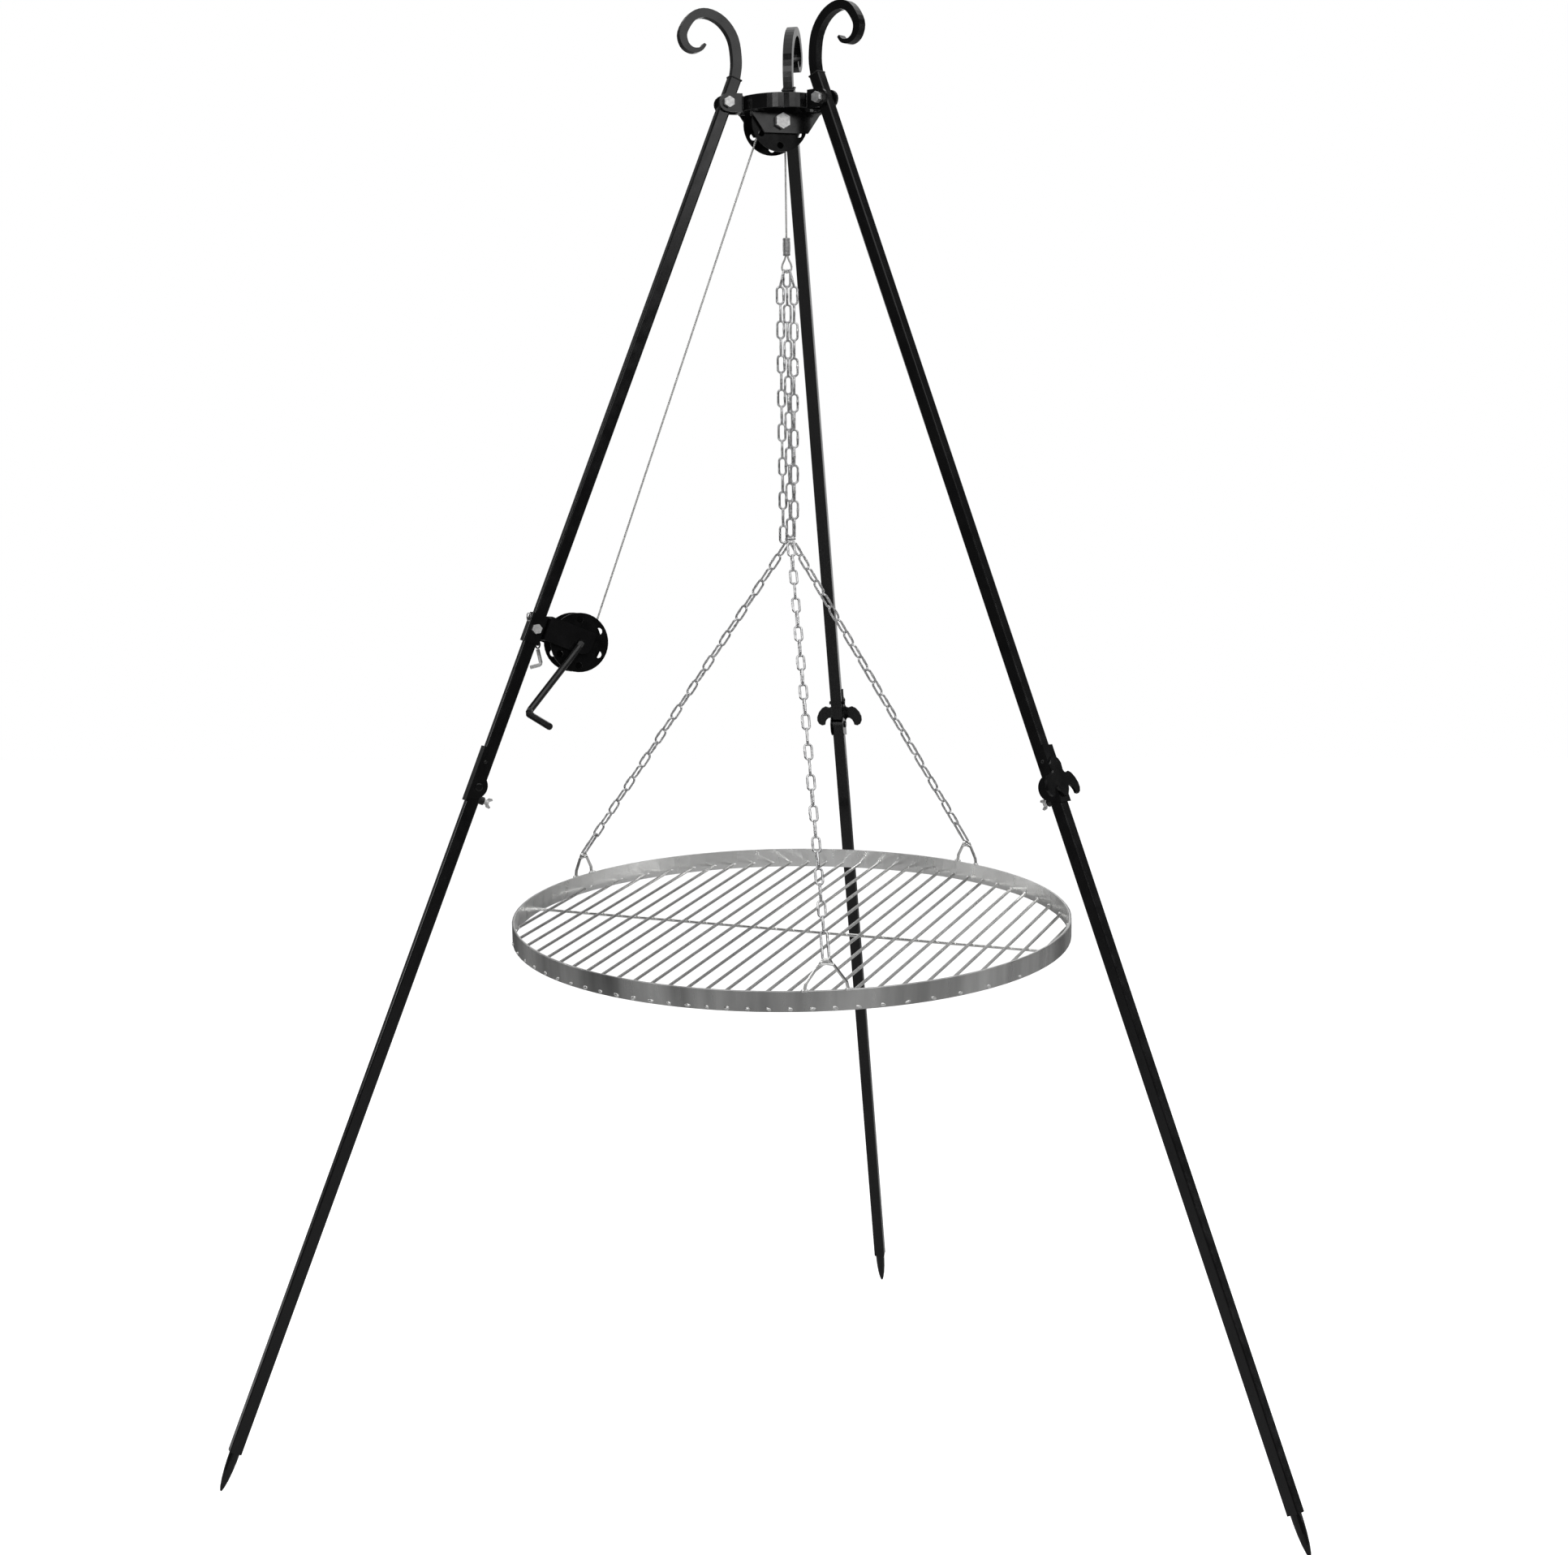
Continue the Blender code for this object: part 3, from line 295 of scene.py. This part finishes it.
def brushed_stainless_painted_light():
    """The rim: brushed streaks and darker outside; its inner face plainer and painted paler, a painted light."""
    finish = Finish("brushed_stainless_painted_light", 0.34, 1.0)
    nodes, links = finish.nodes, finish.links
    finish.colour(finish.noise(10, 8, (1.0, 1.0, 0.05)), (0.19, 0.19, 0.19), (0.84, 0.84, 0.83), 0.34, 0.66)
    outside = finish.shader.inputs["Base Color"].links[0].from_socket
    middle, turn, _ = grate_frame().decompose()
    centred = nodes.new("ShaderNodeMapping")
    centred.vector_type = "TEXTURE"
    centred.inputs["Location"].default_value = middle
    centred.inputs["Rotation"].default_value = turn.to_euler()
    links.new(finish.place, centred.inputs["Vector"])
    level = nodes.new("ShaderNodeVectorMath")
    level.operation = "MULTIPLY"
    level.inputs[1].default_value = (1, 1, 0)
    links.new(centred.outputs["Vector"], level.inputs[0])
    radius = nodes.new("ShaderNodeVectorMath")
    radius.operation = "LENGTH"
    links.new(level.outputs["Vector"], radius.inputs[0])
    # painted light: a mask over the inner face, where the colour turns plain and pale so that face reads lit
    depth = nodes.new("ShaderNodeMapRange")
    depth.inputs["From Min"].default_value = GRATE_RADIUS - RIM_WALL * 0.8
    depth.inputs["From Max"].default_value = GRATE_RADIUS - RIM_WALL * 0.4
    links.new(radius.outputs["Value"], depth.inputs["Value"])
    mix = nodes.new("ShaderNodeMix")
    mix.data_type = "RGBA"
    links.new(depth.outputs["Result"], mix.inputs["Factor"])
    colours = [socket for socket in mix.inputs if socket.type == "RGBA"]
    # the inner face's plain pale grey, a painted light
    colours[0].default_value = (0.92, 0.92, 0.91, 1)
    links.new(outside, colours[1])
    result = [socket for socket in mix.outputs if socket.type == "RGBA"][0]
    links.new(result, finish.shader.inputs["Base Color"])
    finish.roughness(finish.noise(90, 4, (1.0, 1.0, 0.1)), 0.24, 0.42)
    finish.bump(finish.noise(420, 4, (1.0, 1.0, 0.04)), 0.16, 0.0002)
    return finish.material


def drawn_rod():
    finish = Finish("drawn_stainless_rod", 0.3, 1.0)
    finish.colour(finish.noise(60, 4), (0.70, 0.70, 0.69), (0.90, 0.90, 0.89))
    finish.roughness(finish.noise(300, 4), 0.16, 0.26)
    finish.bump(finish.noise(900, 3), 0.10, 0.0002)
    return finish.material


def galvanised_wire():
    finish = Finish("galvanised_wire", 0.42, 1.0)
    finish.colour(finish.noise(500, 3), (0.48, 0.48, 0.47), (0.78, 0.78, 0.76))
    finish.roughness(finish.noise(800, 3), 0.34, 0.52)
    finish.bump(finish.noise(2500, 2), 0.15, 0.0001)
    return finish.material


def pressed_aluminium():
    finish = Finish("pressed_aluminium", 0.5, 1.0)
    finish.colour(finish.noise(400, 4), (0.30, 0.30, 0.30), (0.50, 0.50, 0.50))
    finish.roughness(finish.noise(600, 3), 0.42, 0.60)
    finish.bump(finish.noise(900, 3, (1.0, 1.0, 0.2)), 0.25, 0.0003)
    return finish.material


def weld_metal():
    finish = Finish("weld_metal", 0.35, 1.0)
    finish.colour(finish.noise(900, 3), (0.86, 0.86, 0.85), (0.99, 0.99, 0.98))
    finish.roughness(finish.noise(1200, 3), 0.22, 0.5)
    finish.bump(finish.noise(1400, 3), 0.3, 0.0003)
    return finish.material


# ---- shapes -------------------------------------------------------------------------------
def place(name, mesh, body, slot, finish, replaced=()):
    mesh.materials.append(finish)
    piece = bpy.data.objects.new(name, mesh)
    bpy.context.scene.collection.objects.link(piece)
    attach(piece, body)
    if replaced:
        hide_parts(*replaced)
    return piece


def finished(shape, name, angle=50):
    bmesh.ops.recalc_face_normals(shape, faces=shape.faces)
    mesh = bpy.data.meshes.new(name)
    shape.to_mesh(mesh)
    shape.free()
    mesh.shade_smooth()
    mesh.set_sharp_from_angle(angle=math.radians(angle))
    return mesh


def sweep(shape, points, section, closed=False):
    """Faces round a path. section(i) gives the (side, lift) offsets at point i."""
    count = len(points)
    runs = []
    for i in range(count):
        before = points[(i - 1) % count] if closed else points[max(i - 1, 0)]
        after = points[(i + 1) % count] if closed else points[min(i + 1, count - 1)]
        runs.append((after - before).normalized())
    guide = UP if abs(runs[0].z) < 0.9 else Vector((1, 0, 0))
    side = runs[0].cross(guide).normalized()
    rings = []
    for i, (point, run) in enumerate(zip(points, runs)):
        side = (side - run * side.dot(run)).normalized()
        lift = run.cross(side)
        rings.append([shape.verts.new(point + side * a + lift * b) for a, b in section(i)])
    pairs = list(zip(rings, rings[1:]))
    if closed:
        pairs.append((rings[-1], rings[0]))
    for low, high in pairs:
        size = len(low)
        for j in range(size):
            shape.faces.new((low[j], low[(j + 1) % size], high[(j + 1) % size], high[j]))
    if not closed:
        shape.faces.new(rings[0])
        shape.faces.new(rings[-1])


def round_section(radius, sides):
    return [(radius * math.cos(2 * math.pi * j / sides), radius * math.sin(2 * math.pi * j / sides))
            for j in range(sides)]


def strand_section(radius, turn, strands=6, around=4):
    """A cable's outline: round strands side by side about its middle."""
    outline = []
    for j in range(strands * around):
        angle = 2 * math.pi * j / (strands * around)
        bulge = abs(math.cos(angle * strands / 2))
        reach = radius * (0.80 + 0.20 * bulge)
        outline.append((reach * math.cos(angle + turn), reach * math.sin(angle + turn)))
    return outline


def resample(points, step):
    """The same path with evenly spaced points."""
    made = [points[0].copy()]
    left = step
    for a, b in zip(points, points[1:]):
        length = (b - a).length
        done = 0.0
        while length - done >= left:
            done += left
            made.append(a.lerp(b, done / length))
            left = step
        left -= length - done
    if (made[-1] - points[-1]).length > step * 0.3:
        made.append(points[-1].copy())
    return made


CABLE_RADIUS = 0.00125
CABLE_LAY = 0.016


def cable_mesh(name, points, closed=False):
    step = 0.0016
    path = resample(points, step)
    if closed:
        path = path[:-1]
    shape = bmesh.new()
    turns = len(path) * step / CABLE_LAY
    rate = 2 * math.pi * (round(turns) / len(path) if closed else step / CABLE_LAY)
    sweep(shape, path, lambda i: strand_section(CABLE_RADIUS, i * rate), closed)
    return finished(shape, name, 70)


# ---- chains -------------------------------------------------------------------------------
LINK_WIRE = 0.00145
LINK_WIDTH = 0.0112
LINK_PITCH = 0.0214


def add_link(shape, middle, along, face, length, wire=LINK_WIRE, width=LINK_WIDTH):
    """One welded link: two straights and two round ends, with a weld's bulge on one straight.
    length is end to end, face is the way its open side looks."""
    along = along.normalized()
    face = (face - along * face.dot(along)).normalized()
    side = along.cross(face)
    bend = width / 2 - wire
    straight = length / 2 - width / 2
    points = []
    bulges = []
    steps = 8
    for end in (1, -1):
        for j in range(steps + 1):
            turn = math.pi * j / steps
            off = side * math.cos(turn) * bend + along * (math.sin(turn) * bend + straight)
            points.append(middle + off * end)
            bulges.append(1.0)
        if end == 1:
            for t, bulge in ((0.14, 1.0), (0.06, 1.16), (0.0, 1.2), (-0.06, 1.16), (-0.14, 1.0)):
                points.append(middle - side * bend + along * (t * length))
                bulges.append(bulge)
    sweep(shape, points, lambda i: round_section(wire * bulges[i], 10), True)


def add_chain(shape, start, end, face, phase, seed, pitch=LINK_PITCH, wobble=6.0):
    """Links along a straight run, each turned a quarter from the last."""
    rng = random.Random(seed)
    run = end - start
    count = max(1, round(run.length / pitch))
    step = run.length / count
    along = run.normalized()
    for i in range(count):
        quarter = math.pi / 2 * ((i + phase) % 2)
        turn = Matrix.Rotation(quarter + math.radians(rng.uniform(-wobble, wobble)), 3, along)
        middle = start + along * step * (i + 0.5)
        add_link(shape, middle, along, turn @ face, step + 2 * LINK_WIRE)


GATHER = Vector((DROP.x, DROP.y, 1.123))
LOOP_FOOT = 1.45145                  # lowest point of the cable loop's middle line
SPREAD = 0.0086                      # between neighbouring strands
SHOULDER_DROP = 0.0175               # below the loop, where the strands hang apart
STRAND_FEET = {"left": 1.1185, "middle": 1.1262, "right": 1.1262}
LONG_LINK = 0.040                    # the last link, on the bail


def make_chains(zinc):
    top = Vector((DROP.x, DROP.y, LOOP_FOOT + CABLE_RADIUS + LINK_WIRE))
    shoulder_z = LOOP_FOOT - SHOULDER_DROP
    for number, (name, foot_z) in enumerate(STRAND_FEET.items()):
        shape = bmesh.new()
        x = (number - 1) * SPREAD
        depth = (0.0, 0.0016, 0.0)[number]
        shoulder = Vector((DROP.x, DROP.y, shoulder_z)) + ACROSS * x + BACK * depth
        upper = top + ACROSS * (number - 1) * 0.0036
        face = ACROSS if number != 1 else BACK
        add_chain(shape, upper, shoulder, face, 0, number, pitch=0.03, wobble=2)
        inward = 1.0 if name == "left" else 0.62
        low = Vector((DROP.x, DROP.y, foot_z)) + ACROSS * x * inward + BACK * depth
        add_chain(shape, shoulder, low, face, 1, 10 + number, wobble=5)
        mesh = finished(shape, f"strand_{name}", 60)
        place(f"strand_{name}", mesh, "grate", "zinc_steel", zinc, (f"hanging_chain_{name}",))

    shape = bmesh.new()
    add_link(shape, GATHER, ACROSS, UP + BACK * 0.15, 0.0135, 0.0014, 0.0085)
    mesh = finished(shape, "gathering_link", 60)
    place("gathering_link", mesh, "grate", "zinc_steel", zinc, ("gather_link",))

    for number, name in enumerate(("left", "right", "front")):
        low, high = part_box(f"bail_{name}")
        low, high = Vector(low), Vector(high)
        middle = (low + high) / 2
        outward = Vector((middle.x - DROP.x, middle.y - DROP.y, 0))
        crown = Vector((middle.x, middle.y, high.z - 0.002))
        start = GATHER - UP * 0.004 + outward.normalized() * 0.004
        run = (crown - start).normalized()
        turn_at = crown - run * (LONG_LINK - 0.007)
        shape = bmesh.new()
        sideways = run.cross(UP).normalized()
        add_chain(shape, start, turn_at, sideways, 1, 20 + number)
        last = (turn_at + crown) / 2 - run * 0.0005
        add_link(shape, last, run, UP.cross(sideways), LONG_LINK, 0.00155, 0.0105)
        mesh = finished(shape, f"spread_{name}", 60)
        place(f"spread_chain_{name}", mesh, "grate", "zinc_steel", zinc, (f"grate_chain_{name}",))


# ---- cable --------------------------------------------------------------------------------
TOUCH = 0.0003                       # gap between the cable and what it lies on
WINCH_WRAP = 0.017 + CABLE_RADIUS + TOUCH
PULLEY_WRAP = 0.0135 + CABLE_RADIUS + TOUCH
CABLE_SIDE = -0.008                  # along the winch's axis, from its middle
WINCH_TURNS = 5
WINCH_PITCH = 0.0029
FERRULE_TOP = 1.4935
FERRULE_LENGTH = 0.0215
LOOP_TOP = 1.4717
LOOP_HALF = 0.006


def make_cable(wire, aluminium):
    side = joint_axis("winch_turn")
    out = side.cross(UP)

    def spot(centre, reach, turn, along):
        return centre + out * (reach * math.cos(turn)) + UP * (reach * math.sin(turn)) + side * along
    span = WINCH - PULLEY
    heading = math.atan2(span.z, span.dot(out))
    length = math.hypot(span.z, span.dot(out))
    leave = heading - math.asin((PULLEY_WRAP + WINCH_WRAP) / length) + math.pi / 2
    arrive = leave + math.pi
    steps = 40
    wound = []
    for number in range(WINCH_TURNS * steps + 1):
        back = WINCH_TURNS * steps - number
        turn = arrive + 2 * math.pi * back / steps
        wound.append(spot(WINCH, WINCH_WRAP, turn, CABLE_SIDE + WINCH_PITCH * back / steps))
    run = [wound[-1], spot(PULLEY, PULLEY_WRAP, leave, CABLE_SIDE)]
    over = []
    for number in range(25):
        turn = leave + (math.pi - leave) * number / 24
        over.append(spot(PULLEY, PULLEY_WRAP, turn, CABLE_SIDE))
    place("cable_wound", cable_mesh("cable_wound", wound), "winch", "galvanised_cable", wire)
    piece = bpy.data.objects.new("cable_run", cable_mesh("cable_run", run))
    piece.data.materials.append(wire)
    bpy.context.scene.collection.objects.link(piece)
    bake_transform(piece)
    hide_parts("rope_run")
    place("cable_over_pulley", cable_mesh("cable_over_pulley", over), "hub", "galvanised_cable", wire)

    top = Vector((DROP.x, DROP.y, PULLEY.z))
    low = Vector((DROP.x, DROP.y, FERRULE_TOP))
    piece = bpy.data.objects.new("cable_drop", cable_mesh("cable_drop", [top, low]))
    piece.data.materials.append(wire)
    bpy.context.scene.collection.objects.link(piece)
    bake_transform(piece)
    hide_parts("rope_drop")

    half = LOOP_HALF
    centre = LOOP_FOOT + half
    loop = [(0.0011, LOOP_TOP), (0.0026, centre + half * 1.6), (half * 0.86, centre + half * 0.7)]
    loop += [(half * math.cos(t), centre + half * math.sin(t)) for t in
             [math.radians(20 - 200 * j / 16) for j in range(17)]]
    loop += [(-half * 0.86, centre + half * 0.7), (-0.0026, centre + half * 1.6), (-0.0011, LOOP_TOP)]
    points = [Vector((DROP.x, DROP.y, z)) + ACROSS * x for x, z in loop]
    place("cable_loop", cable_mesh("cable_loop", points), "hoist", "galvanised_cable", wire, ("rope_loop",))
    make_ferrule(aluminium)


def make_ferrule(aluminium):
    """An oval pressed sleeve with two shallow crimps."""
    shape = bmesh.new()
    rows = 30
    points = [Vector((DROP.x, DROP.y, FERRULE_TOP - FERRULE_LENGTH * i / rows)) for i in range(rows + 1)]

    def section(i):
        t = i / rows
        edge = 0.86 if i in (0, rows) else (0.97 if i in (1, rows - 1) else 1.0)
        crimp = 1.0 - 0.07 * max(0.0, math.sin(3 * math.pi * t)) ** 3
        outline = []
        for j in range(28):
            turn = 2 * math.pi * j / 28 + FACING
            outline.append((0.0037 * edge * crimp * math.cos(turn), 0.0047 * edge * crimp * math.sin(turn)))
        return outline
    sweep(shape, points, section)
    mesh = finished(shape, "crimped_ferrule", 40)
    place("crimped_ferrule", mesh, "hoist", "ferrule_aluminium", aluminium, ("ferrule",))


# ---- welds --------------------------------------------------------------------------------
def bead(name, paths, radius, body, slot, finish, seed):
    """Weld beads: lumpy runs of metal along each path."""
    rng = random.Random(seed)
    shape = bmesh.new()
    for path in paths:
        points = resample(path, radius * 0.55)
        count = len(points)
        lumps = []
        for i in range(count):
            ripple = 1.0 + 0.14 * math.sin(i * 2.1 + seed) + rng.uniform(-0.08, 0.08)
            taper = min(1.0, 0.45 + 0.3 * min(i, count - 1 - i))
            lumps.append(radius * ripple * taper)
        sweep(shape, points, lambda i, lumps=lumps: round_section(lumps[i], 8))
    return place(name, finished(shape, name, 80), body, slot, finish)


LUG_ROOT = 0.0525                    # the ring's outer radius, where the lugs start
LUG_SIDE = 0.0122                    # half a lug's width and a bead
PLATE_TOP = 0.0102                   # below the hub's middle
PLATE_SIDE = 0.0222                  # either way along the pulley's axis
PLATE_END = 0.0405                   # either way across it


def make_hub_welds(paint):
    """Beads round the roots of the lugs and along the tops of the pulley plates."""
    for number, leg in enumerate(("left", "right", "rear")):
        side = joint_axis(f"{leg}_leg_fold")
        out = side.cross(UP)
        paths = []
        for way in (-1, 1):
            start = HUB + out * LUG_ROOT + side * way * LUG_SIDE
            paths.append([start + UP * 0.0085 - UP * 0.001, start - UP * 0.0095])
        for way in (-1, 1):
            level = HUB + out * (LUG_ROOT + 0.0002) + UP * (way * 0.009 - 0.001)
            paths.append([level - side * 0.0115, level + side * 0.0115])
        bead(f"hub_weld_{leg}", paths, 0.0012, "hub", "black_paint", paint, number)
    side = joint_axis("pulley_turn")
    out = side.cross(UP)
    paths = []
    for way in (-1, 1):
        for end in (-1, 1):
            base = HUB - UP * PLATE_TOP + side * way * PLATE_SIDE + out * end * PLATE_END
            paths.append([base - out * 0.0045, base + out * 0.0045])
    bead("pulley_plate_welds", paths, 0.0011, "hub", "black_paint", paint, 9)


def add_blob(shape, matrix, size):
    """A flattened ball, size along the matrix's own axes."""
    scaled = matrix @ Matrix.Diagonal((*size, 1.0))
    bmesh.ops.create_icosphere(shape, subdivisions=2, radius=1.0, matrix=scaled)


def make_grate_welds(weld):
    """A weld mark on the rim at every rod end, and a small bead at each bail foot."""
    rng = random.Random(31)
    frame_of = grate_frame()
    shape = bmesh.new()
    for number in range(-ROD_PAIRS, ROD_PAIRS + 1):
        for end in (-1, 1):
            turn = ROD_TURN + end * math.acos(number * ROD_PITCH / GRATE_RADIUS)
            round_to = Matrix.Rotation(turn, 4, "Z")
            spot = round_to @ Matrix.Translation((GRATE_RADIUS - 0.0001, 0, 0.0035 - RIM_HEIGHT))
            lean = Matrix.Rotation(rng.uniform(-0.5, 0.5), 4, "X")
            size = (0.0016, rng.uniform(0.0030, 0.0044), rng.uniform(0.0018, 0.0026))
            add_blob(shape, frame_of @ spot @ lean, size)
            inner = round_to @ Matrix.Translation((GRATE_RADIUS - RIM_WALL - 0.0006, 0, -0.0188))
            add_blob(shape, frame_of @ inner, (0.0014, 0.0024, 0.0018))
    for turn, half in BAILS:
        for way in (-1, 1):
            foot = Matrix.Translation((GRATE_RADIUS - RIM_WALL / 2, half * way, 0.0004))
            spot = Matrix.Rotation(turn, 4, "Z") @ foot
            for _ in range(3):
                off = Matrix.Translation((rng.uniform(-0.0012, 0.0012), rng.uniform(-0.003, 0.003), 0))
                add_blob(shape, frame_of @ spot @ off, (0.0024, 0.0030, 0.0022))
    place("grate_welds", finished(shape, "grate_welds", 80), "grate", "stainless_steel", weld)


KNEE_PINS = {"left": 0.886, "right": 0.886, "rear": 0.842}    # down the leg, from the leg bolt
TUBE_TOP = 0.0322                    # up the leg, from the leg bolt
COLLAR_HALF = 0.0072
RIVET_ABOVE_PIN = 0.031
RIVET_SIDE = 0.0098
SLEEVE_CHAIN = 0.672                 # down the leg, from the leg bolt


def leg_ways(leg):
    """Down along a leg, and out square to it."""
    side = joint_axis(f"{leg}_leg_fold")
    down = (joint_spot(f"{leg}_knee_fold") - joint_spot(f"{leg}_leg_fold")).normalized()
    out = down.cross(side)
    return down, (out if out.dot(side.cross(UP)) >= 0 else -out)


def make_leg_details(paint, zinc):
    """Weld collars at the tube tops, rivet heads on the knee channels, small links on the winch sleeve."""
    for number, leg in enumerate(("left", "right", "rear")):
        bolt = joint_spot(f"{leg}_leg_fold")
        side = joint_axis(f"{leg}_leg_fold")
        down, out = leg_ways(leg)
        top = bolt - down * TUBE_TOP
        square = ((1, 1), (1, -1), (-1, -1), (-1, 1), (1, 1))
        corners = [top + out * (COLLAR_HALF * a) + side * (COLLAR_HALF * b) for a, b in square]
        bead(f"tube_collar_{leg}", [corners], 0.0011, f"{leg}_leg", "black_paint", paint, 40 + number)
        shape = bmesh.new()
        rivet = bolt + down * (KNEE_PINS[leg] - RIVET_ABOVE_PIN) + out * 0.0030
        for way in (-1, 1):
            turn = (side * way).to_track_quat("Z", "Y").to_matrix().to_4x4()
            head = Matrix.Translation(rivet + side * way * RIVET_SIDE)
            add_blob(shape, head @ turn, (0.0026, 0.0026, 0.0013))
        name = f"knee_rivets_{leg}"
        place(name, finished(shape, name, 80), f"{leg}_leg", "black_paint", paint)

    bolt = joint_spot("left_leg_fold")
    side = joint_axis("left_leg_fold")
    down, out = leg_ways("left")
    shape = bmesh.new()
    hang = bolt + down * SLEEVE_CHAIN + out * 0.0118 + side * 0.002
    add_link(shape, hang, UP, side, 0.011, 0.0008, 0.0062)
    add_link(shape, hang - UP * 0.0088, UP, out, 0.0105, 0.0008, 0.0058)
    add_link(shape, hang - UP * 0.0172 + out * 0.0004, UP, side, 0.0105, 0.0008, 0.0058)
    add_link(shape, hang - UP * 0.0270, UP, out + side * 0.6, 0.0125, 0.0009, 0.0105)
    place("sleeve_chain", finished(shape, "sleeve_chain", 60), "left_leg", "zinc_steel", zinc)


# ---- assembly -----------------------------------------------------------------------------
def soften(node, width, segments=2, angle=35):
    step = node.modifiers.new("soft_edges", "BEVEL")
    step.width = width
    step.segments = segments
    step.limit_method = "ANGLE"
    step.angle_limit = math.radians(angle)
    step.harden_normals = True


ROUNDED = ("lug_", "hub_bolt", "knee_channel", "hook_plate", "pulley_plate", "winch_bracket",
           "winch_sleeve", "sleeve_bolt", "scroll_", "pulley_bolt", "wing_screw")


def finish_cad(paint, reel, zinc, stainless, rod):
    kinds = {"black_paint": paint, "zinc_steel": zinc, "stainless_steel": stainless}
    slots = {part["node"]: part["material_slot"] for part in frame["record"]["subparts"]}
    for name, node in frame["nodes"].items():
        finish = kinds.get(slots[name], zinc)
        if name.startswith("bail_") or name == "grate_rods":
            finish = rod
        elif name.endswith("_reel"):
            # the reels take the darker copy of the black paint, a painted shade
            finish = reel
        for spot in node.material_slots:
            spot.material = finish
        if not node.material_slots:
            node.data.materials.append(finish)
        if name.startswith(ROUNDED):
            soften(node, 0.0007)
        elif name.endswith("_reel"):
            soften(node, 0.0004, angle=50)


make_camera()
make_stage()
PAINT = black_paint()
ZINC = bright_zinc()
finish_cad(PAINT, shaded_reel_paint(), bolt_zinc(), brushed_stainless_painted_light(), drawn_rod())
make_chains(ZINC)
make_cable(galvanised_wire(), pressed_aluminium())
make_hub_welds(PAINT)
make_grate_welds(weld_metal())
make_leg_details(PAINT, ZINC)
